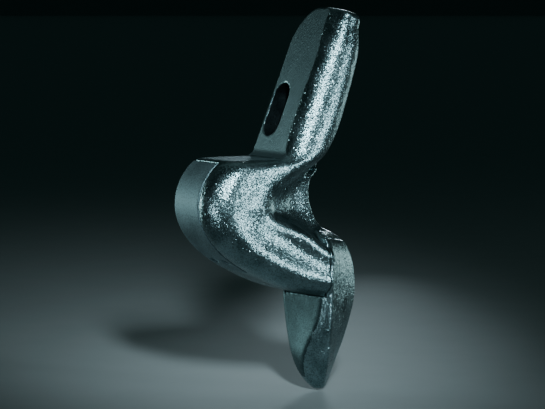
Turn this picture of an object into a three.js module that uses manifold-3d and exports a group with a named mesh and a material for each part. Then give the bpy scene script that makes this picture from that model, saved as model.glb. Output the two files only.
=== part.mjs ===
// Bolt-on corner tooth for an excavator bucket.
// A cast shank bolts to the bucket lip through a slot, a replaceable point is pinned to the shank's
// nose, and a wear pad covers the shank's heel. Units are millimetres, +Z is up and +Y is backwards.
// The origin lies on the machined seat face, on its centre line, just above the bolt slot.

import * as THREE from 'three';
import { mergeVertices } from 'three/addons/utils/BufferGeometryUtils.js';
import Module from 'manifold-3d';

const wasm = await Module();
wasm.setup();

// ---- Driving dimensions ----

const GAP = 0.35; // running gap between castings that touch
const BACK_Y = 17.5; // flat back of the castings
const FRONT_Y = -34.5; // crown of the rounded front
const FRONT_RADIUS = 17; // rounding of the front edges
const BACK_RADIUS = 3; // rounding of the back edges
const SEAT_RISE = 0.4; // the seat face leans this many mm in X for each mm of Z
const SHELF_Z = -66; // machined shelf that butts against the lip's edge
const SEAT_CORNER_RADIUS = 7;
const SLOT = { width: 19, length: 37, y: 4.5, down: 37.9 }; // down is measured along the seat face
const CREASE_X = 6; // the point meets the shank's end face here
const POINT_TOP_Z = -119;
const POINT_TOP_FALL = 0.17; // the point's top falls this much for each mm of X
const WING_TOP_Z = -157.5; // top of the point's left wing, under the shank
const NOSE = {
  base: { x: 4, y: [-15, 10], z: [-152, -127] },
  tip: { x: 27, y: [-10, 8], z: [-149, -134] },
};
const LOCK = { x: 16, z: -141, pinRadius: 5, bushRadius: 7, seatRadius: 8.5 };
const LOCK_FRONT_Y = -15; // blind end of the lock bore
const LOCK_SEAT_Y = 10.6; // floor of the counterbore that the spring ring sits in
const RING_GROOVE = { radius: 9.3, y: [11.2, 12.9] };
const PAD_THICKNESS = 6;
const PAD_FRONT_Y = -16.5;
const PAD_PIN = { radius: 3, length: 20, offsets: { front: -7, rear: 8 } };

// ---- Small helpers ----

/** Turns a closed three.js geometry into a manifold solid. */
function solid(geometry) {
  const bare = geometry.clone();
  bare.deleteAttribute('normal');
  bare.deleteAttribute('uv');
  const merged = mergeVertices(bare, 1e-4);
  return new wasm.Manifold(new wasm.Mesh({
    numProp: 3,
    vertProperties: new Float32Array(merged.attributes.position.array),
    triVerts: new Uint32Array(merged.index.array),
  }));
}

/** Extrudes an outline drawn in X and Z from y0 to y1. */
function prism(points, y0, y1) {
  const outline = points.map(([x, z]) => new THREE.Vector2(x, z));
  if (THREE.ShapeUtils.area(outline) < 0) outline.reverse();
  const geometry = new THREE.ExtrudeGeometry(new THREE.Shape(outline), {
    depth: y1 - y0,
    bevelEnabled: false,
  });
  geometry.rotateX(Math.PI / 2);
  geometry.translate(0, y1, 0);
  return solid(geometry);
}

/** A cylinder along +Y from y0 to y1. */
function rodY(x, z, radius, y0, y1, sides = 40) {
  const geometry = new THREE.CylinderGeometry(radius, radius, y1 - y0, sides);
  geometry.translate(x, (y0 + y1) / 2, z);
  return solid(geometry);
}

/** Skins a list of closed rings, all with the same number of points, and caps both ends. */
function loft(rings) {
  const count = rings[0].length;
  const positions = rings.flat().flatMap((p) => [p.x, p.y, p.z]);
  const faces = [];
  for (let i = 0; i < rings.length - 1; i++) {
    for (let j = 0; j < count; j++) {
      const k = (j + 1) % count;
      const [a, b, c, d] = [i * count + j, i * count + k, (i + 1) * count + k, (i + 1) * count + j];
      faces.push(a, b, c, a, c, d);
    }
  }
  for (const [ring, flip] of [[0, true], [rings.length - 1, false]]) {
    const centre = rings[ring].reduce((s, p) => s.add(p), new THREE.Vector3()).divideScalar(count);
    const hub = positions.length / 3;
    positions.push(centre.x, centre.y, centre.z);
    for (let j = 0; j < count; j++) {
      const [a, b] = [ring * count + j, ring * count + ((j + 1) % count)];
      faces.push(hub, flip ? b : a, flip ? a : b);
    }
  }
  const geometry = new THREE.BufferGeometry();
  geometry.setAttribute('position', new THREE.Float32BufferAttribute(positions, 3));
  geometry.setIndex(faces);
  const made = solid(geometry);
  if (made.volume() > 0) return made;
  geometry.setIndex(faces.reverse());
  return solid(geometry);
}

/** Adds fill evenly spaced points on the side from the first point to the second, ends left out. */
function sidePoints(from, to, fill) {
  return Array.from({ length: fill }, (_, i) => from.clone().lerp(to, (i + 1) / (fill + 1)));
}

/**
 * Rounds a polygon's corners, steps + 1 points each, with fill points on every straight side.
 * A corner is [x, y, radius], or [x, y, before, after] if it starts and ends at different distances.
 */
function rounded(corners, steps = 5, fill = 0) {
  const points = [];
  corners.forEach(([x, y, first, second = first], i) => {
    const corner = new THREE.Vector2(x, y);
    const before = corners[(i + corners.length - 1) % corners.length];
    const after = corners[(i + 1) % corners.length];
    const back = new THREE.Vector2(before[0], before[1]).sub(corner);
    const on = new THREE.Vector2(after[0], after[1]).sub(corner);
    const half = Math.acos(THREE.MathUtils.clamp(back.dot(on) / back.length() / on.length(), -1, 1)) / 2;
    const reaches = [first, second].map((radius) => radius / Math.tan(half));
    reaches[0] = Math.min(reaches[0], back.length() * 0.495);
    reaches[1] = Math.min(reaches[1], on.length() * 0.495);
    const handle = 1 - (4 / 3) * Math.tan((Math.PI / 2 - half) / 2) * Math.tan(half);
    back.normalize();
    on.normalize();
    const bend = new THREE.CubicBezierCurve(
      corner.clone().addScaledVector(back, reaches[0]),
      corner.clone().addScaledVector(back, reaches[0] * handle),
      corner.clone().addScaledVector(on, reaches[1] * handle),
      corner.clone().addScaledVector(on, reaches[1]),
    );
    const arc = bend.getPoints(steps);
    if (points.length) points.push(...sidePoints(points[points.length - 1], arc[0], fill));
    points.push(...arc);
  });
  points.push(...sidePoints(points[points.length - 1], points[0], fill));
  return points;
}

/** A smooth curve in X and Z through hand-chosen points. */
function curveXZ(points) {
  return new THREE.CatmullRomCurve3(points.map(([x, z]) => new THREE.Vector3(x, 0, z)), false, 'catmullrom', 0.5);
}

// ---- The S-shaped limb: arm, knee and lower limb ----

// Each station is a chord across the limb, from its left or lower outline to its inner outline.
const STATIONS = [
  // outer x, z, inner x, z
  [10.5, 29.5, 31.2, 22],
  [4.9, 15, 32, 6],
  [-1.1, 0, 29, -10],
  [-9.1, -20, 23.4, -30],
  [-17.1, -40, 16.6, -49],
  [-24, -56, 9, -62],
  [-31, -64.4, 1.5, -68.5],
  [-43, -65, -7, -74],
  [-56, -65.2, -15, -80],
  [-69, -67.2, -21.5, -85.5],
  [-79.6, -79, -26.5, -90.5],
  [-84, -94, -28.5, -95],
  [-80.6, -110, -27.5, -99.5],
  [-68, -126, -22, -104.5],
  [-48, -139.5, -14, -110],
  [-28, -149, -5, -116],
  [-10, -154.5, 2, -121.5],
  [8, -157, 10, -127],
];
const LIMB_RINGS = 76;
// The cut end of the arm: a rim, a pinched neck under it, and the full section further down.
const TOP_RIM = [
  // distance down the arm, how far the section is drawn in
  [-2.6, 3],
  [-1.6, 0.9],
  [0, 0.2],
  [2.4, 0.2],
  [3.4, 1.5],
  [8, 1.3],
  [14, 0.5],
];
const FRONT_STEPS = 11;
// The shallow valley between the lower limb's two front ridges, placed across the section's width.
const VALLEY = { centre: 0.6, halfWidth: 0.36, depth: 3, from: 0.64, full: 0.8 };

const limbOuter = curveXZ(STATIONS.map(([x, z]) => [x, z]));
const limbInner = curveXZ(STATIONS.map(([, , x, z]) => [x, z]));

/** The limb's section at t, drawn between its two outlines and shrunk by inset. */
function limbRing(t, inset = 0) {
  const { smoothstep, lerp } = THREE.MathUtils;
  const outer = limbOuter.getPoint(t);
  const inner = limbInner.getPoint(t);
  const across = inner.clone().sub(outer);
  const width = across.length();
  across.normalize();
  const plain = Math.min(FRONT_RADIUS, width / 2 - 0.2);
  const flatSide = lerp(plain, 26, 1 - smoothstep(t, 0, 0.13));
  const innerRound = lerp(lerp(plain, 23, smoothstep(t, 0.4, 0.6)), 9, smoothstep(t, 0.68, 0.86));
  // The seat side isn't drawn in, so that the ground face runs up to the end of the arm.
  const corners = rounded([
    [0, BACK_Y - inset, BACK_RADIUS],
    [0, FRONT_Y + inset, flatSide - inset, plain - inset],
    [width - inset, FRONT_Y + inset, innerRound - inset],
    [width - inset, BACK_Y - inset, BACK_RADIUS],
  ], 8);
  const back = sidePoints(corners[35], corners[0], 3);
  const front = sidePoints(corners[17], corners[18], FRONT_STEPS);
  const side = sidePoints(corners[26], corners[27], 2);
  const section = [...corners.slice(0, 18), ...front, ...corners.slice(18, 27), ...side, ...corners.slice(27), ...back];
  const depth = VALLEY.depth * smoothstep(t, VALLEY.from, VALLEY.full);
  return section.map((p) => {
    const off = (p.x / width - VALLEY.centre) / VALLEY.halfWidth;
    const dip = p.y < -12 && Math.abs(off) < 1 ? depth * Math.cos((off * Math.PI) / 2) ** 2 : 0;
    return new THREE.Vector3(outer.x + across.x * p.x, p.y + dip, outer.z + across.z * p.x);
  });
}

function limb() {
  const reach = limbOuter.getPoint(0).distanceTo(limbOuter.getPoint(0.1)) / 0.1;
  const down = limbOuter.getPoint(0.03).sub(limbOuter.getPoint(0)).normalize();
  const rings = TOP_RIM.map(([distance, inset]) => {
    const ring = limbRing(Math.max(distance, 0) / reach, inset);
    const lift = down.clone().multiplyScalar(Math.min(distance, 0));
    return ring.map((p) => p.clone().add(lift));
  });
  const start = 20 / reach;
  for (let i = 0; i <= LIMB_RINGS; i++) rings.push(limbRing(start + ((1 - start) * i) / LIMB_RINGS));
  return loft(rings);
}

/** The arm's end seen square to the seat: its far corner is well rounded. */
function armEnvelope() {
  const lean = Math.atan(SEAT_RISE);
  const top = 32 / Math.cos(lean);
  const outline = rounded([
    [-60, -300, 0.1],
    [BACK_Y, -300, 0.1],
    [BACK_Y, top, 30, 26],
    [-60, top, 0.1],
  ], 10);
  const geometry = new THREE.ExtrudeGeometry(new THREE.Shape(outline), { depth: 300, bevelEnabled: false });
  geometry.translate(0, 0, -150);
  geometry.rotateX(Math.PI / 2);
  geometry.rotateZ(Math.PI / 2);
  geometry.rotateY(lean);
  return solid(geometry);
}

// ---- The web that fills the inside of the bend ----

const WEB_EDGE = [[9.6, -60.5], [9.4, -67.5], [7.4, -75], [4, -82], [2.6, -90], [4.5, -99], [8, -107], [13, -113.5], [21, -119], [30, -124]];
const WEB_BACK_Y = 13;
const WEB_EDGE_Y = -10;
const WEB_MIDDLE_Y = -15;
const WEB_ROOT_Y = -27;

// A crescent fold where the arm's rounding runs out over the web.
const FOLD = { path: [[-22, -21, -72], [-14, -21.5, -77.5], [-6, -20, -79], [1, -17, -76], [6, -13, -71]], radius: 2.4 };

function fold() {
  const path = new THREE.CatmullRomCurve3(FOLD.path.map((p) => new THREE.Vector3(...p)));
  const rings = [];
  const frames = path.computeFrenetFrames(24, false);
  for (let i = 0; i <= 24; i++) {
    const centre = path.getPointAt(i / 24);
    const radius = FOLD.radius * (0.25 + 0.75 * Math.sin((Math.PI * i) / 24));
    const ring = [];
    for (let j = 0; j < 12; j++) {
      const a = (2 * Math.PI * j) / 12;
      ring.push(centre.clone()
        .addScaledVector(frames.normals[i], radius * Math.cos(a))
        .addScaledVector(frames.binormals[i], radius * Math.sin(a)));
    }
    rings.push(ring);
  }
  return loft(rings);
}

function web() {
  const edge = curveXZ(WEB_EDGE);
  const rings = [];
  for (let i = 0; i <= 30; i++) {
    const t = THREE.MathUtils.lerp(0.3, 0.97, i / 30);
    const inner = limbInner.getPoint(t);
    const root = inner.clone().add(limbOuter.getPoint(t).sub(inner).setLength(9));
    const rim = edge.getPoint(i / 30);
    const middle = inner.clone().lerp(rim, 0.45);
    const at = (p, y) => new THREE.Vector3(p.x, y, p.z);
    const corners = [
      at(root, WEB_BACK_Y),
      at(root, WEB_ROOT_Y),
      at(inner, WEB_ROOT_Y + 3),
      at(middle, WEB_MIDDLE_Y),
      at(rim, WEB_EDGE_Y),
      at(rim, WEB_BACK_Y),
    ];
    rings.push(corners.flatMap((p, j) => [p, ...sidePoints(p, corners[(j + 1) % corners.length], 4)]));
  }
  return loft(rings);
}

// ---- The point: a spade-shaped tip with a front spine ----

// Each section, from the top down: z, then left front, spine, right rim, back right and left back in x, y.
const POINT_SECTIONS = [
  [-108, [0, -8], [4, -8.6], [7.4, -4], [7, 10], [0, 11]],
  [-113, [1, -11], [5, -13.5], [13.6, -6.4], [13, 12.6], [0, 13]],
  [-119, [2, -20], [6.5, -26.5], [26, -6], [24, 14.6], [-0.5, 16.4]],
  [-126, [3, -23], [7, -30], [34.5, -5.5], [29, 15.5], [-1, 17.4]],
  [-137, [3.6, -23], [8, -30], [39.8, -5], [30.5, 16.4], [-2, 17.4]],
  [-149, [4, -23], [8, -29.4], [42, -4.5], [30, 16.5], [-3, 17.4]],
  [-162, [3.6, -22.6], [8.3, -28.4], [42, -4], [28, 15.5], [-3, 17.4]],
  [-175, [2, -20.4], [8.6, -26.8], [39, -3.5], [24, 13.5], [-2.4, 16]],
  [-188, [-0.6, -14], [9, -24.2], [34.8, -3], [20, 10.5], [-2, 12.4]],
  [-199, [-1.6, -8.6], [9.8, -21.4], [29.8, -3], [17, 6.8], [-1.6, 8.4]],
  [-210, [0.8, -5.8], [11, -17.2], [24.6, -3.2], [14.5, 3], [1, 3.6]],
  [-217.5, [5.5, -5.4], [12.4, -12.8], [20.6, -4], [14, 0.4], [6, 0.4]],
  [-221.5, [10, -5.4], [13.2, -9], [17.6, -4.8], [13.6, -1.6], [10, -1.6]],
];
const POINT_RADII = [5, 4.5, 1.6, 5, 2.5];
const POINT_RINGS = 40;

function pointBody() {
  const rails = POINT_RADII.map((_, corner) => new THREE.CatmullRomCurve3(
    POINT_SECTIONS.map(([z, ...corners]) => new THREE.Vector3(corners[corner][0], corners[corner][1], z)),
  ));
  const rings = [];
  for (let i = 0; i <= POINT_RINGS; i++) {
    const t = i / POINT_RINGS;
    const corners = rails.map((rail, c) => {
      const p = rail.getPoint(t);
      return [p.x, p.y, POINT_RADII[c] * (1 - 0.5 * t)];
    });
    const z = rails[0].getPoint(t).z;
    rings.push(rounded(corners, 4, 4).map((p) => new THREE.Vector3(p.x, p.y, z)));
  }
  return loft(rings);
}

// ---- Cutting tools ----

/** The space that the bucket lip fills: its faces cut the machined seat and shelf. */
function lipSpace() {
  const cornerX = SHELF_Z * SEAT_RISE;
  const outline = rounded([
    [cornerX, SHELF_Z, SEAT_CORNER_RADIUS],
    [60 * SEAT_RISE, 60, 0.1],
    [-120, 60, 0.1],
    [-120, SHELF_Z, 0.1],
  ], 6);
  return prism(outline.map((p) => [p.x, p.y]), -60, 60);
}

/** The bolt slot, square to the seat face. */
function slotSpace() {
  const straight = SLOT.length - SLOT.width;
  const shape = new THREE.Shape();
  shape.absarc(0, straight / 2, SLOT.width / 2, 0, Math.PI, false);
  shape.absarc(0, -straight / 2, SLOT.width / 2, Math.PI, 2 * Math.PI, false);
  const geometry = new THREE.ExtrudeGeometry(shape, { depth: 100, bevelEnabled: false, curveSegments: 16 });
  geometry.translate(0, 0, -50);
  geometry.rotateX(Math.PI / 2);
  geometry.rotateZ(Math.PI / 2);
  const lean = Math.atan(SEAT_RISE);
  geometry.rotateY(lean);
  const down = new THREE.Vector3(-Math.sin(lean), 0, -Math.cos(lean)).multiplyScalar(SLOT.down);
  geometry.translate(down.x, SLOT.y, down.z);
  return solid(geometry);
}

/** The space that belongs to the point, grown by gap on its upper and left faces. */
function pointSpace(gap) {
  const top = (x) => POINT_TOP_Z - POINT_TOP_FALL * (x - CREASE_X);
  return prism([
    [-60, WING_TOP_Z + gap],
    [CREASE_X - gap, WING_TOP_Z + gap],
    [CREASE_X - gap, top(CREASE_X) + gap],
    [90, top(90) + gap],
    [90, -260],
    [-60, -260],
  ], -60, 60);
}

/** A tapered block between two upright rectangles, grown by gap. */
function nose(gap = 0) {
  const rectangle = ({ x, y, z }, dx) => [
    [y[0] - gap, z[0] - gap],
    [y[1] + gap, z[0] - gap],
    [y[1] + gap, z[1] + gap],
    [y[0] - gap, z[1] + gap],
  ].map(([b, c]) => new THREE.Vector3(x + dx, b, c));
  return loft([rectangle(NOSE.base, -6), rectangle(NOSE.tip, gap)]);
}

/** The band round the heel that the wear pad fills, depth mm deep from the outline and open at the back. */
function padSpace(depth, frontY) {
  const [from, to, count] = [9 / 17, 14 / 17, 26];
  const deep = [];
  const proud = [];
  for (let i = 0; i <= count; i++) {
    const t = THREE.MathUtils.lerp(from, to, i / count);
    const p = limbOuter.getPoint(t);
    const along = limbOuter.getPoint(t + 0.004).sub(limbOuter.getPoint(t - 0.004)).normalize();
    const inward = [-along.z, along.x];
    deep.push([p.x + inward[0] * depth, p.z + inward[1] * depth]);
    proud.push([p.x - inward[0] * 12, p.z - inward[1] * 12]);
  }
  return prism([...deep, ...proud.reverse()], frontY, 60);
}

/** The dovetail rib that keys the pad into the heel, running front to back. */
function padRib(gap = 0) {
  const z = -100;
  return prism([
    [-78, z - 5 - gap],
    [-70 + gap, z - 8 - gap],
    [-70 + gap, z + 8 + gap],
    [-78, z + 5 + gap],
  ], PAD_FRONT_Y - gap, 60);
}

// ---- Fasteners and small pieces ----

const padPinSeat = limbOuter.getPoint(13.5 / 17);
const padPinAlong = limbOuter.getPoint(13.6 / 17).sub(limbOuter.getPoint(13.4 / 17)).normalize();
const padPinOut = new THREE.Vector3(padPinAlong.z, 0, -padPinAlong.x);

/** A rod square to the pad's underside. head is how deep its outer end sits below the surface. */
function padPinRod(y, radius, length, head) {
  const geometry = new THREE.CylinderGeometry(radius, radius, length, 28);
  const up = new THREE.Vector3(0, 1, 0);
  geometry.applyQuaternion(new THREE.Quaternion().setFromUnitVectors(up, padPinOut));
  const centre = padPinSeat.clone().addScaledVector(padPinOut, -head - length / 2);
  geometry.translate(centre.x, y, centre.z);
  return solid(geometry);
}

/** A rolled spring pin: a rod with a bore and a slit along it. */
function padPin(y) {
  const { radius, length } = PAD_PIN;
  const bore = padPinRod(y, radius * 0.5, length + 4, -1);
  const slit = new THREE.BoxGeometry(radius * 3, length + 4, 0.9);
  slit.translate(radius * 1.5, 0, 0);
  slit.applyQuaternion(new THREE.Quaternion().setFromUnitVectors(new THREE.Vector3(0, 1, 0), padPinOut));
  const centre = padPinSeat.clone().addScaledVector(padPinOut, -length / 2);
  slit.translate(centre.x, y, centre.z);
  return padPinRod(y, radius, length, 1.2).subtract(bore).subtract(solid(slit));
}

/** The lock pin: a plain pin with a ring groove and a threaded pull hole in its back end. */
function lockPin() {
  const { x, z, pinRadius: r } = LOCK;
  const [front, groove, lip, back, pull, mouth] = [LOCK_FRONT_Y + 1, 11.2, 12.9, 14.2, 4, 14.2];
  const profile = [
    [0, front],
    [r - 1.2, front],
    [r, front + 1.2],
    [r, groove],
    [r - 0.9, groove],
    [r - 0.9, lip],
    [r, lip],
    [r, back - 0.6],
    [r - 0.6, back],
    [3.4, mouth],
    [2.6, mouth - 0.8],
    [2.6, pull],
    [0, pull - 1.5],
  ];
  const geometry = new THREE.LatheGeometry(profile.map(([a, b]) => new THREE.Vector2(a, b)), 40);
  geometry.translate(x, 0, z);
  return solid(geometry);
}

/** The split spring ring that sits in the pin's groove. */
function lockRing() {
  const { x, z, pinRadius: r } = LOCK;
  const ring = rodY(x, z, RING_GROOVE.radius - 0.35, 11.5, 12.6).subtract(rodY(x, z, r - 0.7, 11, 13));
  const slit = new THREE.BoxGeometry(3, 10, 12);
  slit.translate(x, 12, z + 6);
  return ring.subtract(solid(slit));
}

/** The hardened bush pressed into the nose. */
function pinBush() {
  const { x, z, bushRadius, pinRadius } = LOCK;
  return rodY(x, z, bushRadius, -10.3, 8).subtract(rodY(x, z, pinRadius + 0.1, -20, 20));
}

/** The rubber plug that keeps dirt out of the counterbore: a disc with two sealing lips. */
function dirtPlug() {
  const { x, z, seatRadius } = LOCK;
  const r = seatRadius - 0.35;
  const profile = [[0, 14.6], [r - 1.6, 14.6], [r, 15], [r - 0.5, 15.4], [r, 15.8], [r - 0.4, 16.5], [0, 16.8]];
  const geometry = new THREE.LatheGeometry(profile.map(([a, b]) => new THREE.Vector2(a, b)), 40);
  geometry.translate(x, 0, z);
  return solid(geometry);
}

/** The rubber buffer between the nose's end and the bottom of the socket. */
function noseBuffer(gap = 0) {
  const { x, y, z } = NOSE.tip;
  const start = x + 0.4 - gap;
  return prism([
    [start, z[0] + 2 - gap],
    [start + 3 + 2 * gap, z[0] + 2 - gap],
    [start + 3 + 2 * gap, z[1] - 2 + gap],
    [start, z[1] - 2 + gap],
  ], y[0] + 3 - gap, y[1] - 3 + gap);
}

// ---- Assembly ----

const lip = lipSpace();
const body = limb().intersect(armEnvelope()).add(web()).add(fold()).add(pointBody()).subtract(lip).subtract(slotSpace());

const lockBore = (radius) => rodY(LOCK.x, LOCK.z, radius, LOCK_FRONT_Y, 40);
const lockSeat = rodY(LOCK.x, LOCK.z, LOCK.seatRadius, LOCK_SEAT_Y, 40);
const padBores = Object.values(PAD_PIN.offsets)
  .map((y) => padPinRod(y, PAD_PIN.radius + 0.15, PAD_PIN.length + 6, -4.5))
  .reduce((a, b) => a.add(b));

const shank = body
  .subtract(pointSpace(GAP))
  .add(nose())
  .subtract(rodY(LOCK.x, LOCK.z, LOCK.bushRadius + GAP, -40, 40))
  .subtract(padSpace(PAD_THICKNESS + GAP, PAD_FRONT_Y - GAP))
  .subtract(padRib(GAP))
  .subtract(padBores);

const point = body
  .intersect(pointSpace(0))
  .subtract(nose(GAP))
  .subtract(noseBuffer(GAP))
  .subtract(lockBore(LOCK.pinRadius + 0.15))
  .subtract(lockSeat)
  .subtract(rodY(LOCK.x, LOCK.z, RING_GROOVE.radius, ...RING_GROOVE.y));

const heelPad = body
  .intersect(padSpace(PAD_THICKNESS, PAD_FRONT_Y))
  .add(padRib().intersect(body))
  .subtract(padBores);

const CAST = { color: 0x7f9499, roughness: 0.42, metalness: 0.9 };
const PAD = { color: 0x8fa3a6, roughness: 0.5, metalness: 0.85 };
const STEEL = { color: 0x9aa2a5, roughness: 0.35, metalness: 1 };
const RUBBER = { color: 0x1c1e1f, roughness: 0.8, metalness: 0 };

/** Wraps a solid as a named mesh. */
function piece(name, made, finish) {
  const { vertProperties, triVerts } = made.getMesh();
  const geometry = new THREE.BufferGeometry();
  geometry.setAttribute('position', new THREE.Float32BufferAttribute(vertProperties, 3));
  geometry.setIndex(new THREE.BufferAttribute(new Uint32Array(triVerts), 1));
  geometry.computeVertexNormals();
  const mesh = new THREE.Mesh(geometry, new THREE.MeshStandardMaterial(finish));
  mesh.name = name;
  return mesh;
}

const tooth = new THREE.Group();
tooth.add(
  piece('shank', shank, CAST),
  piece('point', point, CAST),
  piece('heel_pad', heelPad, PAD),
  piece('heel_pad_pin_front', padPin(PAD_PIN.offsets.front), STEEL),
  piece('heel_pad_pin_rear', padPin(PAD_PIN.offsets.rear), STEEL),
  piece('lock_pin', lockPin(), STEEL),
  piece('lock_ring', lockRing(), STEEL),
  piece('pin_bush', pinBush(), STEEL),
  piece('dirt_plug', dirtPlug(), RUBBER),
  piece('nose_buffer', noseBuffer(), RUBBER),
);

export default tooth;
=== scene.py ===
# %% [markdown]
# # A bolt-on bucket corner tooth
# The part is a shot-blasted steel casting that bolts to the corner of a digging bucket. The CAD
# model gives every piece its place and size. Here the castings get their as-cast skin, the small
# pieces get their turned and moulded finish, and the tooth is lit like a product on a table.

# %% Load the CAD frame
import math

import bpy
import numpy as np
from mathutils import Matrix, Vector, noise
from mathutils.bvhtree import BVHTree


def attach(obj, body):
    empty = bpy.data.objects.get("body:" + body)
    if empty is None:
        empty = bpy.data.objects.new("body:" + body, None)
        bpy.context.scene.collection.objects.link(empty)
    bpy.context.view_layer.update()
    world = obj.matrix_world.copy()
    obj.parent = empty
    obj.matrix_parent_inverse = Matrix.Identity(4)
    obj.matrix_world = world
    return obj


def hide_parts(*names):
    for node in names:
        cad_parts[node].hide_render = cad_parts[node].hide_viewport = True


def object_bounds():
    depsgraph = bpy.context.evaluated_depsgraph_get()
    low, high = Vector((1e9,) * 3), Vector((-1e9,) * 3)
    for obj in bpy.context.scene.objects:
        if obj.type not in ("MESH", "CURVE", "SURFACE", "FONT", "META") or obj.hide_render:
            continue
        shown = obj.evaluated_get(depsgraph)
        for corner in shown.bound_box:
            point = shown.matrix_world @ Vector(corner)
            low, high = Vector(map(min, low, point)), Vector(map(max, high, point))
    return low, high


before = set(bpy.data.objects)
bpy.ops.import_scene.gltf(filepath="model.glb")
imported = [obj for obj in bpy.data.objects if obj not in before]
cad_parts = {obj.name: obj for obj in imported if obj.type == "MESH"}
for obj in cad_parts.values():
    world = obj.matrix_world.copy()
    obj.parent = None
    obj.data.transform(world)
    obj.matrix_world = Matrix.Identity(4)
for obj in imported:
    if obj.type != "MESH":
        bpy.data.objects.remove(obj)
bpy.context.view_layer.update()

MM = 0.001

# %% [markdown]
# ## Colours and shader nodes
# Colours are easiest to pick as sRGB hex values, but shaders work in linear light, so one function
# converts them. A second function adds any shader node: settings go on the node itself, and each
# input is either a value or the output of another node.

# %% Colour and node helpers
def linear(hex_colour):
    """An sRGB colour such as '8FA6AC' as linear red, green, blue and alpha."""
    parts = [int(hex_colour[i:i + 2], 16) / 255 for i in (0, 2, 4)]
    return [c / 12.92 if c <= 0.04045 else ((c + 0.055) / 1.055) ** 2.4 for c in parts] + [1.0]


def add(tree, kind, inputs=None, **settings):
    """Adds a node. A key of inputs is a socket's name or number."""
    made = tree.nodes.new(kind)
    for name, value in settings.items():
        setattr(made, name, value)
    for name, value in (inputs or {}).items():
        if isinstance(value, bpy.types.NodeSocket):
            tree.links.new(value, made.inputs[name])
        else:
            made.inputs[name].default_value = value
    return made


def per_mm(size):
    """The texture scale that makes a pattern's cells about size millimetres wide."""
    return 1 / (size * MM)


def start_material(name):
    """A material with an empty node tree. Returns it, its tree and its object coordinates."""
    material = bpy.data.materials.new(name)
    material.use_nodes = True
    tree = material.node_tree
    tree.nodes.clear()
    place = add(tree, "ShaderNodeTexCoord").outputs["Object"]
    return material, tree, place


def finish_material(tree, inputs):
    """Adds the principled shader with these inputs, and the output."""
    shader = add(tree, "ShaderNodeBsdfPrincipled", inputs)
    add(tree, "ShaderNodeOutputMaterial", {"Surface": shader.outputs["BSDF"]})


# %% [markdown]
# ## Shot-blasted cast steel
# The castings are low-alloy steel. Steel shot has peened their skin, so the eye sees a dense grain
# of tiny dents, a few deeper gas pits, and slow patches where the oxide is thicker. Real shot
# leaves dents of about 0.4 mm. Here the grain is 0.9 mm, the dents are 1.3 mm and the facets are
# 0.7 mm, as coarse as they need to be to show. About one facet in eight is tilted more than the
# rest, and flashes where the skin round it is dark. The pad, the dressed side and the inside of the
# slot are the same steel with a finer or duller surface. The dressed side's darker colour is painted
# shade, and the slot steel's near-black colour is painted shade for the inside of the slot.

# %% Material: shot-blasted cast steel
GRAIN = 0.9
DENT = 1.3
FACET = 0.7
PIT_SPACING = 5.5
OXIDE_PATCH = 11
LEVEL_FACET = 0.4


def ramp(tree, value, start, end, low, high, **settings):
    """Turns the range from start to end into the range from low to high."""
    node = add(tree, "ShaderNodeMapRange", {
        "Value": value, "From Min": start, "From Max": end, "To Min": low, "To Max": high},
        **settings)
    return node.outputs["Result"]


def blend(tree, factor, first, second, **settings):
    """Mixes two colours."""
    node = add(tree, "ShaderNodeMix", {
        0: factor, 6: first, 7: second}, data_type="RGBA", **settings)
    return node.outputs[2]


def cast_steel(name, light, dark, roughness, grain_depth, pit_depth, sparkle):
    material, tree, place = start_material(name)
    patches = add(tree, "ShaderNodeTexNoise", {
        "Vector": place, "Scale": per_mm(OXIDE_PATCH), "Detail": 4.0}).outputs["Fac"]
    grain = add(tree, "ShaderNodeTexNoise", {
        "Vector": place, "Scale": per_mm(GRAIN), "Detail": 2.0, "Roughness": 0.55}).outputs["Fac"]
    dents = add(tree, "ShaderNodeTexVoronoi", {
        "Vector": place, "Scale": per_mm(DENT), "Smoothness": 0.4}, feature="SMOOTH_F1")
    surface = add(tree, "ShaderNodeMath", {
        0: dents.outputs["Distance"], 1: 0.4, 2: grain}, operation="MULTIPLY_ADD")
    pits = add(tree, "ShaderNodeTexVoronoi", {"Vector": place, "Scale": per_mm(PIT_SPACING)})
    pit_shape = ramp(
        tree, pits.outputs["Distance"], 0.08, 0.22, 0.0, 1.0, interpolation_type="SMOOTHSTEP")
    fine_bump = add(tree, "ShaderNodeBump", {
        "Height": surface.outputs[0], "Distance": grain_depth * MM, "Strength": 1.0})
    pit_bump = add(tree, "ShaderNodeBump", {
        "Height": pit_shape, "Distance": pit_depth * MM, "Strength": 1.0,
        "Normal": fine_bump.outputs["Normal"]})
    facets = add(tree, "ShaderNodeTexVoronoi", {"Vector": place, "Scale": per_mm(FACET)})
    tilt = add(tree, "ShaderNodeVectorMath", {
        0: facets.outputs["Color"], 1: (0.5, 0.5, 0.5)}, operation="SUBTRACT")
    chance = add(tree, "ShaderNodeTexWhiteNoise", {"Vector": facets.outputs["Position"]})
    chosen = ramp(tree, chance.outputs["Value"], 0.86, 0.88, LEVEL_FACET * sparkle, sparkle)
    tilted = add(tree, "ShaderNodeVectorMath", {
        0: tilt.outputs[0], "Scale": chosen}, operation="SCALE")
    leaning = add(tree, "ShaderNodeVectorMath", {
        0: pit_bump.outputs["Normal"], 1: tilted.outputs[0]}, operation="ADD")
    normal = add(tree, "ShaderNodeVectorMath", {0: leaning.outputs[0]}, operation="NORMALIZE")
    tone = ramp(tree, patches, 0.35, 0.65, 0.0, 1.0)
    speckle = ramp(tree, grain, 0.32, 0.55, 0.5, 1.0)
    colour = blend(tree, tone, linear(dark), linear(light))
    grained = blend(tree, 1.0, colour, speckle, blend_type="MULTIPLY")
    rough = ramp(tree, patches, 0.3, 0.7, roughness - 0.02, roughness + 0.04)
    finish_material(tree, {
        "Base Color": grained, "Metallic": 1.0, "Roughness": rough, "Normal": normal.outputs[0]})
    return material


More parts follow.
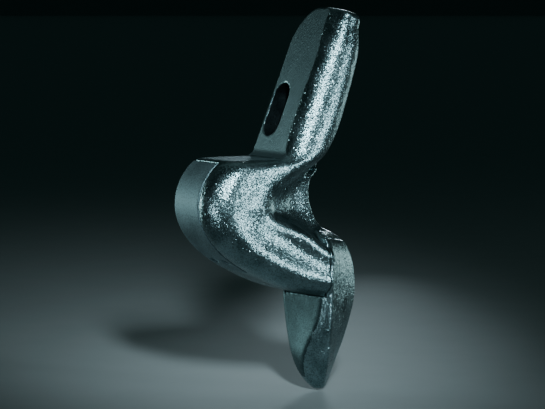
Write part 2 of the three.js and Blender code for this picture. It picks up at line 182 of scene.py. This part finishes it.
skin_steel = cast_steel("Shot-blasted cast steel", "8CA7AB", "708B8E", 0.29, 0.15, 0.10, 0.60)
pad_steel = cast_steel("Smooth hardened pad steel", "768D92", "687F84", 0.60, 0.05, 0.02, 0.0)
# Painted shade: the dressed side is darker than the skin, standing for the shade on the point's left
# flank.
dressed_shaded_side_steel = cast_steel("Dressed side with painted shade", "4E6669", "3E5457", 0.46, 0.06, 0.04, 0.1)
# Painted shade: the slot steel is near black, standing for the shade inside the slot.
slot_shade_steel = cast_steel("Painted slot shade", "2A3537", "1C2527", 0.6, 0.10, 0.10, 0.0)


# %% [markdown]
# ## Ground seat
# The seat and the shelf are ground after casting, so they're flat and matte, with shallow parallel
# scratches that run across them at a slant. A wave texture gives the scratches their direction, and
# its distortion and a mottle of 1.6 mm break them up. A wave repeats about every third of its
# cell, so a cell of 7 mm puts the scratches 2.2 mm apart, far coarser than a grinding wheel's.

# %% Material: ground steel
def ground_steel():
    material, tree, place = start_material("Ground steel seat")
    slant = add(tree, "ShaderNodeMapping", {"Vector": place, "Rotation": (0.9, 0.0, 0.35)})
    wander = add(tree, "ShaderNodeTexNoise", {"Vector": place, "Scale": per_mm(9), "Detail": 6.0})
    lines = add(tree, "ShaderNodeTexWave", {
        "Vector": slant.outputs["Vector"], "Scale": per_mm(7), "Distortion": 9.0, "Detail": 4.0,
        "Detail Scale": 1.5}, bands_direction="Z").outputs["Fac"]
    tone = blend(tree, wander.outputs["Fac"], linear("5C7478"), linear("7E979B"))
    marked = ramp(tree, lines, 0.0, 1.0, 0.78, 1.0)
    colour = blend(tree, 1.0, tone, marked, blend_type="MULTIPLY")
    mottle = add(tree, "ShaderNodeTexNoise", {
        "Vector": place, "Scale": per_mm(1.6), "Detail": 3.0, "Roughness": 0.6})
    relief = add(tree, "ShaderNodeMath", {
        0: mottle.outputs["Fac"], 1: 4.0, 2: lines}, operation="MULTIPLY_ADD")
    bump = add(tree, "ShaderNodeBump", {
        "Height": relief.outputs[0], "Distance": 0.04 * MM, "Strength": 1.0})
    finish_material(tree, {
        "Base Color": colour, "Metallic": 1.0, "Roughness": 0.47, "Normal": bump.outputs["Normal"]})
    return material


seat_steel = ground_steel()

# %% [markdown]
# ## Turned steel, spring steel and rubber
# The pin and bush are turned, which leaves faint rings round their axis. The springs are blued, a
# dark oxide from tempering. The plug and the buffer are moulded nitrile rubber: dark and soft, with
# a faint mould texture.

# %% Materials: turned steel, blued steel and rubber
def fine_steel(name, light, dark, roughness, ring_size):
    """Rings come out about twice ring_size mm apart, coarser than a lathe's so that they show."""
    material, tree, place = start_material(name)
    rings = add(tree, "ShaderNodeTexWave", {
        "Vector": place, "Scale": per_mm(ring_size * 6), "Distortion": 0.6, "Detail": 2.0},
        bands_direction="Y")
    smears = add(tree, "ShaderNodeTexNoise", {
        "Vector": place, "Scale": per_mm(3), "Detail": 3.0}).outputs["Fac"]
    colour = blend(tree, smears, linear(dark), linear(light))
    rough = ramp(tree, smears, 0.3, 0.7, roughness - 0.07, roughness + 0.07)
    bump = add(tree, "ShaderNodeBump", {
        "Height": rings.outputs["Fac"], "Distance": 0.01 * MM, "Strength": 1.0})
    finish_material(tree, {
        "Base Color": colour, "Metallic": 1.0, "Roughness": rough,
        "Normal": bump.outputs["Normal"]})
    return material


def rubber():
    material, tree, place = start_material("Moulded nitrile rubber")
    texture = add(tree, "ShaderNodeTexNoise", {
        "Vector": place, "Scale": per_mm(0.8), "Detail": 3.0})
    dust = add(tree, "ShaderNodeTexNoise", {"Vector": place, "Scale": per_mm(5), "Detail": 4.0})
    colour = blend(tree, dust.outputs["Fac"], linear("17191A"), linear("2E3132"))
    bump = add(tree, "ShaderNodeBump", {
        "Height": texture.outputs["Fac"], "Distance": 0.08 * MM, "Strength": 1.0})
    finish_material(tree, {
        "Base Color": colour, "Roughness": 0.75, "Normal": bump.outputs["Normal"]})
    return material


turned_steel = fine_steel("Turned hardened steel", "B4B9BB", "8D9395", 0.3, 0.35)
blued_steel = fine_steel("Blued spring steel", "5B6470", "3A4149", 0.32, 0.5)
nitrile = rubber()

# %% [markdown]
# ## Which faces are machined
# The seat, the shelf, the slot and the joint faces stay exactly as the CAD has them. Everything else
# is cast skin. A point belongs to a machined face if it lies on one of these planes, in the stretch
# that the cutter reached.

# %% Machined faces
SEAT_RISE = 0.4
SEAT_NORMAL = Vector((-1, 0, SEAT_RISE)).normalized()
SHELF_Z = -66 * MM
SLOT_CENTRE = Vector((-14.08, 4.5, -35.19)) * MM
SLOT_HALF_WIDTH = 9.5 * MM
SLOT_HALF_STRAIGHT = 9 * MM
NEAR = 0.06 * MM
NEAR_SHELF_X = -20 * MM


def on_seat(p):
    return abs(p.dot(SEAT_NORMAL)) < NEAR and p.z > SHELF_Z


def on_shelf(p):
    return abs(p.z - SHELF_Z) < NEAR and p.x < NEAR_SHELF_X


def in_corner(p):
    """The rounded inner corner between the seat and the shelf."""
    if not SHELF_Z + NEAR < p.z < -58 * MM:
        return False
    if not -34 * MM < p.x < -22 * MM:
        return False
    return -NEAR < p.dot(SEAT_NORMAL) < 2.2 * MM


def in_slot(p):
    along = Vector((SEAT_RISE, 0, 1)).normalized()
    d = p - SLOT_CENTRE
    run = d.dot(along)
    over = max(abs(run) - SLOT_HALF_STRAIGHT, 0)
    side = math.hypot(over, d.y)
    return side < SLOT_HALF_WIDTH + 0.1 * MM


CREASE_X = 6 * MM
WING_TOP_Z = -157.5 * MM


def on_joint(p):
    """The faces where the point meets the shank, with the nose and its socket behind them."""
    gap = 0.5 * MM
    if abs(p.z - WING_TOP_Z) < gap and p.x < CREASE_X + gap:
        return True
    if abs(p.x - CREASE_X) < gap and WING_TOP_Z - gap < p.z < -118 * MM:
        return True
    if p.x > CREASE_X - gap and abs(p.z + 119 * MM + 0.17 * (p.x - CREASE_X)) < gap:
        return True
    return CREASE_X < p.x < 33 * MM and -17 * MM < p.y < 11 * MM and -155 * MM < p.z < -124 * MM


def in_lock_bore(p):
    return math.hypot(p.x - 16 * MM, p.z + 141 * MM) < 9.5 * MM and p.y > -16 * MM


PAD_FRONT_Y = -16.5 * MM


def on_pad_joint(p):
    return abs(p.y - PAD_FRONT_Y) < 0.45 * MM


print("seat normal:", [round(v, 3) for v in SEAT_NORMAL])

# %% [markdown]
# ## The cast skin
# A casting has no sharp facets or crisp inner corners: metal and sand round everything a little.
# So each casting is copied from the CAD, rebuilt as an even skin of small quads by a voxel remesh,
# and smoothed. Machined faces are pulled back to the CAD surface, and the rest gets the slow waves
# that a mould leaves. Doing this on the vertices, not in the shader, keeps it in the mesh itself.

# %% Functions that give a casting its skin
def even_skin(source, name, voxel):
    """A copy of a CAD node with its surface rebuilt in quads of about voxel mm."""
    mesh = source.data.copy()
    mesh.name = name
    casting = bpy.data.objects.new(name, mesh)
    bpy.context.scene.collection.objects.link(casting)
    remesh = casting.modifiers.new("Even skin", "REMESH")
    remesh.mode = "VOXEL"
    remesh.voxel_size = voxel * MM
    graph = bpy.context.evaluated_depsgraph_get()
    even = bpy.data.meshes.new_from_object(casting.evaluated_get(graph))
    casting.modifiers.clear()
    casting.data = even
    even.name = name
    return casting


def relax(points, edges, weight, rounds):
    """Moves each point half-way to its neighbours' average, rounds times, scaled by weight."""
    count = np.bincount(edges.ravel(), minlength=len(points)).clip(1)[:, None]
    for _ in range(rounds):
        total = np.zeros_like(points)
        for axis in range(3):
            total[:, axis] = (
                np.bincount(edges[:, 0], points[edges[:, 1], axis], len(points))
                + np.bincount(edges[:, 1], points[edges[:, 0], axis], len(points)))
        points = points + 0.5 * weight[:, None] * (total / count - points)
    return points


def blurred(values, edges, rounds):
    """Spreads one number per point over its neighbours."""
    return relax(np.repeat(values[:, None], 3, axis=1), edges, np.ones(len(values)), rounds)[:, 0]


def surface_tree(mesh):
    points = [v.co.copy() for v in mesh.vertices]
    return BVHTree.FromPolygons(points, [tuple(p.vertices) for p in mesh.polygons])


def cast_skin(node_name, name, voxel, kept, rounds, waves, extra=None, sink=None):
    """Builds a casting's skin.

    kept(p) is true on machined faces, and waves is the height of the mould's waves in mm.
    extra(points) says where to smooth more, and sink(p) how deep to press a point in.
    """
    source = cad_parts[node_name]
    casting = even_skin(source, name, voxel)
    mesh = casting.data
    count = len(mesh.vertices)
    points = np.empty(count * 3)
    mesh.vertices.foreach_get("co", points)
    points = points.reshape(-1, 3)
    edges = np.empty(len(mesh.edges) * 2, dtype=np.int64)
    mesh.edges.foreach_get("vertices", edges)
    edges = edges.reshape(-1, 2)
    exact = surface_tree(source.data)
    free = np.ones(count)
    joint = np.zeros(count, dtype=bool)
    for i, p in enumerate(points):
        nearest = exact.find_nearest(Vector(p))[0]
        joint[i] = on_joint(nearest) or on_pad_joint(nearest)
        if joint[i] or kept(nearest):
            free[i] = 0
    for _ in range(2):
        border = free[edges[:, 0]] != free[edges[:, 1]]
        ends = edges[border].ravel()
        free[ends[~joint[ends]]] = 1
    soft = np.minimum(blurred(free, edges, 2), free)
    points = relax(points, edges, soft, rounds)
    if extra is not None:
        points = relax(points, edges, soft * extra(points), 40)
    for i in np.nonzero(free < 0.5)[0]:
        nearest = exact.find_nearest(Vector(points[i]))[0]
        points[i] = nearest
    mesh.vertices.foreach_set("co", points.ravel())
    mesh.update()
    normals = np.empty(count * 3)
    mesh.vertex_normals.foreach_get("vector", normals)
    normals = normals.reshape(-1, 3)
    calm = blurred(free, edges, 6) * free
    for i in range(count):
        if calm[i] > 0.01:
            p = Vector(points[i])
            slow = noise.noise(p / (16 * MM))
            quick = noise.noise(p / (5 * MM))
            points[i] += normals[i] * calm[i] * MM * (waves * slow + 0.2 * waves * quick)
            if sink is not None:
                points[i] -= normals[i] * calm[i] * sink(p)
    corners = np.array([vertex.co for vertex in source.data.vertices])
    points = np.clip(points, corners.min(axis=0), corners.max(axis=0))
    mesh.vertices.foreach_set("co", points.ravel())
    mesh.update()
    for polygon in mesh.polygons:
        polygon.use_smooth = True
    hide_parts(node_name)
    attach(casting, "tooth")
    print(f"{name}: {len(mesh.polygons)} faces, {int((free < 0.5).sum())} machined points")
    return casting


def soft_zone(points):
    """Where the mould is smoothest: the arm's broad front, and the bend with its large radii."""
    centre = np.array([-8, -16, -100]) * MM
    reach = np.array([30, 16, 24]) * MM
    far = np.sqrt((((points - centre) / reach) ** 2).sum(axis=1))
    bend = np.clip(1.6 - 1.2 * far, 0, 1)
    forward = np.clip((-21 * MM - points[:, 1]) / (5 * MM), 0, 1)
    under_rim = np.clip((16 * MM - points[:, 2]) / (8 * MM), 0, 1)
    over_bend = np.clip((points[:, 2] + 62 * MM) / (12 * MM), 0, 1)
    return np.maximum(bend * 0.5, forward * under_rim * over_bend)


def valley_depth(point):
    """How far the groove between the limb's two ridges sinks, in metres."""
    start = Vector((-52, 0, -102)) * MM
    end = Vector((-6, 0, -131)) * MM
    flat = Vector((point.x, 0, point.z))
    run = end - start
    along = (flat - start).dot(run) / run.length_squared
    across = (flat - start - run * along).length / (6 * MM)
    fade = max(0.0, min(1.0, (along + 0.15) / 0.3, (1.05 - along) / 0.2))
    front = max(0.0, min(1.0, (-26 * MM - point.y) / (4 * MM)))
    return 0.9 * MM * fade * front * math.exp(-across * across)


# %% [markdown]
# ## The shank
# The shank carries everything else, so it's made first. Its skin has two finishes: cast, and ground
# where the bucket's plate sits. The groove between the limb's ridges is pressed in a little deeper
# than in the CAD, by 0.9 mm at most, so that the two ridges stand apart. The slot's walls get a
# near-black steel, which is painted shade for the inside of the slot.

# %% The shank
def shank_kept(p):
    return on_seat(p) or on_shelf(p) or in_corner(p) or in_slot(p) or on_joint(p) or on_pad_joint(p)


shank = cast_skin("shank", "shank_casting", 0.8, shank_kept, 16, 0.08, soft_zone, valley_depth)
shank.data.materials.clear()
shank.data.materials.append(skin_steel)
shank.data.materials.append(seat_steel)
shank.data.materials.append(slot_shade_steel)
# Painted shade: faces in the slot get the near-black slot steel.
for polygon in shank.data.polygons:
    centre = polygon.center
    if on_seat(centre) or on_shelf(centre) or in_corner(centre):
        polygon.material_index = 1
    elif in_slot(centre):
        polygon.material_index = 2

# %% [markdown]
# ## The point
# The point is a second casting of the same steel, with the same blasted skin. Its left flank has
# been dressed, so it's duller, and its darker colour is painted shade for the left-facing side.

# %% The point
LEFT_FLANK = -0.86


def point_kept(p):
    return on_joint(p) or in_lock_bore(p)


point = cast_skin("point", "point_casting", 0.8, point_kept, 20, 0.06)
point.data.materials.clear()
point.data.materials.append(skin_steel)
point.data.materials.append(dressed_shaded_side_steel)
# Painted shade: faces that turn to the left get the darker dressed steel.
for polygon in point.data.polygons:
    if polygon.normal.x < LEFT_FLANK:
        polygon.material_index = 1

# %% [markdown]
# ## The wear pad
# The pad is a smoother, harder piece let into the heel.

# %% The wear pad
pad = cast_skin("heel_pad", "heel_wear_pad", 0.7, on_pad_joint, 6, 0.06)
pad.data.materials.clear()
pad.data.materials.append(pad_steel)

# %% [markdown]
# ## Pins, ring, bush, plug and buffer
# These small pieces are turned, coiled or moulded, so their shape is right already. Each gets a
# copy with a small bevel, because no real edge is perfectly sharp, and smooth shading.

# %% The small pieces
def finished(node_name, name, material, slot, body, bevel):
    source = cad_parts[node_name]
    mesh = source.data.copy()
    mesh.name = name
    mesh.materials.clear()
    mesh.materials.append(material)
    piece = bpy.data.objects.new(name, mesh)
    bpy.context.scene.collection.objects.link(piece)
    edge = piece.modifiers.new("Broken edge", "BEVEL")
    edge.width = bevel * MM
    edge.segments = 2
    edge.limit_method = "ANGLE"
    edge.angle_limit = math.radians(40)
    edge.harden_normals = True
    for polygon in mesh.polygons:
        polygon.use_smooth = True
    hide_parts(node_name)
    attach(piece, body)
    return piece


SMALL_PIECES = [
    # CAD node, name, material, record slot, body, bevel in mm
    ("lock_pin", "turned_lock_pin", turned_steel, "pin_steel", "lock", 0.25),
    ("lock_ring", "spring_lock_ring", blued_steel, "spring_steel", "lock", 0.15),
    ("dirt_plug", "rubber_dirt_plug", nitrile, "black_rubber", "lock", 0.2),
    ("pin_bush", "hardened_pin_bush", turned_steel, "pin_steel", "tooth", 0.25),
    ("nose_buffer", "rubber_nose_buffer", nitrile, "black_rubber", "tooth", 0.4),
    ("heel_pad_pin_front", "front_spring_pin", blued_steel, "spring_steel", "pad_pin_front", 0.15),
    ("heel_pad_pin_rear", "rear_spring_pin", blued_steel, "spring_steel", "pad_pin_rear", 0.15),
]
for row in SMALL_PIECES:
    finished(*row)
print(len(SMALL_PIECES), "small pieces")

# %% [markdown]
# ## Floor
# The tooth hangs just over a plain pale floor, point down. A ring of the same board stands 60 m
# away, so that the floor meets something of its own tone. The join still shows faintly in low views.

# %% The floor
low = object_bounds()[0]
bpy.ops.mesh.primitive_plane_add(size=600, location=(0, 0, low.z - 1 * MM))
floor = bpy.context.object
floor.name = "pale_floor"
pale, tree, place = start_material("Pale painted board")
speck = add(tree, "ShaderNodeTexNoise", {"Vector": place, "Scale": per_mm(40), "Detail": 3.0})
tint = blend(tree, speck.outputs["Fac"], linear("A0A9AA"), linear("A9B1B2"))
finish_material(tree, {"Base Color": tint, "Roughness": 0.85})
print("floor at", round(low.z / MM - 1, 1), "mm")
floor.data.materials.append(pale)

bpy.ops.mesh.primitive_cylinder_add(
    vertices=96, radius=60, depth=16, end_fill_type="NOTHING", location=(0, 0, low.z))
backdrop = bpy.context.object
backdrop.name = "pale_backdrop"
backdrop.data.materials.append(pale)

# %% [markdown]
# ## Light
# Polished dents only show in a mirror-like streak, so the light comes from softboxes. The key draws
# the streak along the arm, the front one draws the limb's two ridges, and the low one draws the
# spine of the point. Two walls give the flat faces an even tone, a strip behind on the right draws
# the thin bright rim, and an overhead one fills in the top and back. All but the overhead one have
# a narrow spread, which keeps the floor dim. Each row gives a name, azimuth, elevation, distance,
# width and height in metres, power in watts, colour and spread in degrees.

# %% The lights
aim = Vector((-14.3, 9.2, -98.4)) * MM


def towards(azimuth, elevation):
    a, e = math.radians(azimuth), math.radians(elevation)
    return Vector((math.sin(a) * math.cos(e), -math.cos(a) * math.cos(e), math.sin(e)))


def softbox(name, azimuth, elevation, distance, width, height, power, colour, spread):
    light = bpy.data.lights.new(name, "AREA")
    light.shape = "RECTANGLE"
    light.size = width
    light.size_y = height
    light.energy = power
    light.color = linear(colour)[:3]
    light.spread = math.radians(spread)
    lamp = bpy.data.objects.new(name, light)
    way = towards(azimuth, elevation)
    lamp.location = aim + way * distance
    lamp.rotation_euler = way.to_track_quat("Z", "Y").to_euler()
    lamp.visible_camera = False
    bpy.context.scene.collection.objects.link(lamp)


SOFTBOXES = [
    ("Key", -22, 25, 0.9, 0.07, 0.16, 0.22, "E4F8FF", 26),
    ("Front", 35, -3, 0.9, 0.10, 0.08, 0.085, "E4F8FF", 26),
    ("Low left", -62, -9, 0.6, 0.04, 0.04, 0.014, "E4F8FF", 26),
    ("Left wall", -150, 0, 0.9, 0.35, 0.34, 0.17, "D4F0F0", 30),
    ("Right wall", 106, -4, 0.9, 0.3, 0.2, 0.03, "D4F0F0", 30),
    ("Overhead", 170, 76, 1.1, 0.9, 0.9, 0.5, "D4F0F0", 180),
    ("Right rim", 142, 12, 0.9, 0.05, 0.4, 0.10, "E0F6FF", 30),
]
for row in SOFTBOXES:
    softbox(*row)
print(len(SOFTBOXES), "softboxes")

world = bpy.data.worlds.new("Dim studio")
bpy.context.scene.world = world
world.use_nodes = True
world.node_tree.nodes["Background"].inputs["Color"].default_value = linear("568280")
world.node_tree.nodes["Background"].inputs["Strength"].default_value = 0.07

# %% [markdown]
# ## Camera
# A long lens from the front left, slightly above, as for a product picture.

# %% The camera
LENS = 150
FRAME_WIDTH = 545 * 0.66 * MM
camera = bpy.data.objects.new("Camera", bpy.data.cameras.new("Camera"))
camera.data.lens = LENS
distance = FRAME_WIDTH * LENS / camera.data.sensor_width
way = towards(-30, 5)
camera.location = aim + way * distance
camera.rotation_euler = way.to_track_quat("Z", "Y").to_euler()
bpy.context.scene.collection.objects.link(camera)
bpy.context.scene.camera = camera
print("camera distance:", round(distance, 3), "m")
